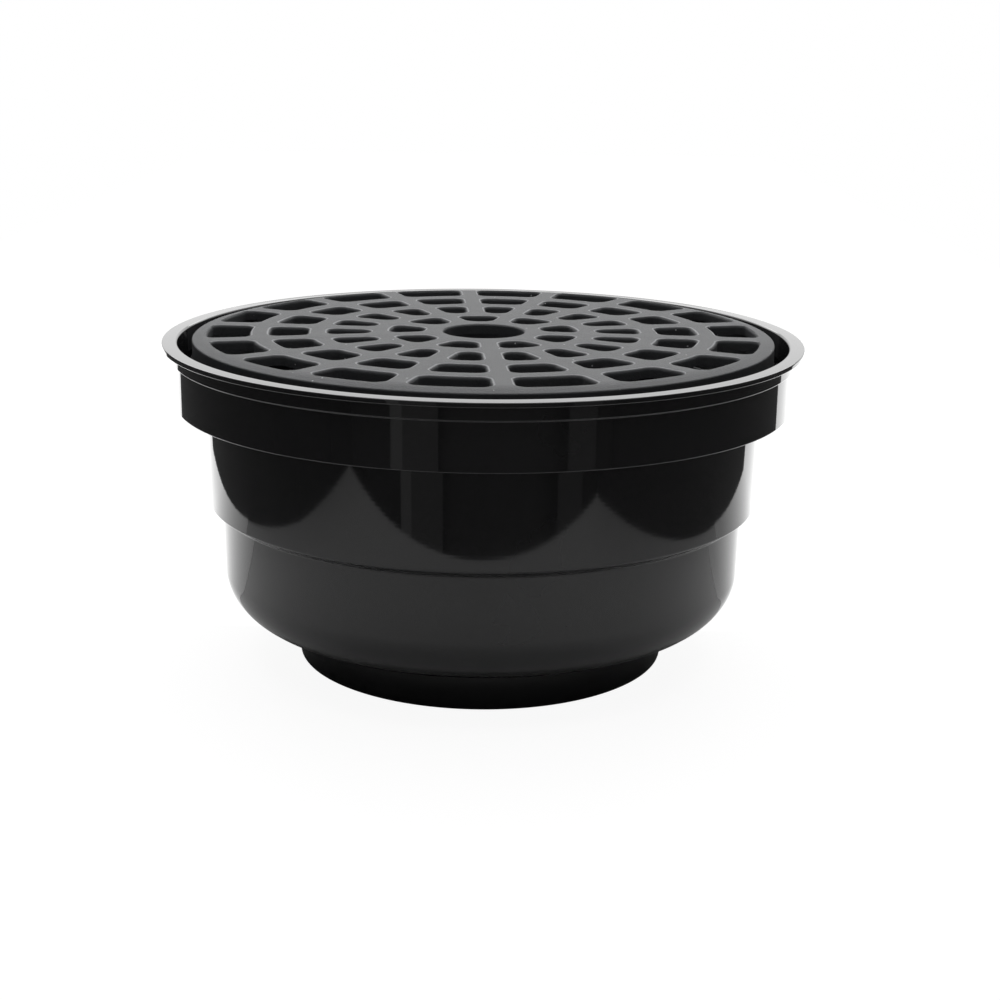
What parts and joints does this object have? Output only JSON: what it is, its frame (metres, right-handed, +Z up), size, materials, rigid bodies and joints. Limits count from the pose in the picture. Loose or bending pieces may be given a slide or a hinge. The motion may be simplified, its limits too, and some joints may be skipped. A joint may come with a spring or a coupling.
{
  "type": "yard gully trap",
  "caption": "Round plastic gully bowl with a stepped body and collar, a cast iron grate of ringed cells, a bell over a standpipe as water trap, and a pipe socket in the foot.",
  "frame": {"origin": "centre of the underside of the foot ring, on the axis of the outlet socket", "axes": "+Z up along the axis of revolution, from the foot towards the grate; -Y is the front, along one of the grate's spokes"},
  "size_m": [0.315, 0.315, 0.1639],
  "materials": {
    "black_moulding": "glossy moulded polypropylene, near black",
    "cast_grate": "grey coated casting, matt and finely granular",
    "bell_moulding": "semi-gloss moulded polypropylene, near black"
  },
  "bodies": {
    "root": {"body": "black_moulding", "grate": "cast_grate", "trap_bell": "bell_moulding"}
  },
  "joints": []
}
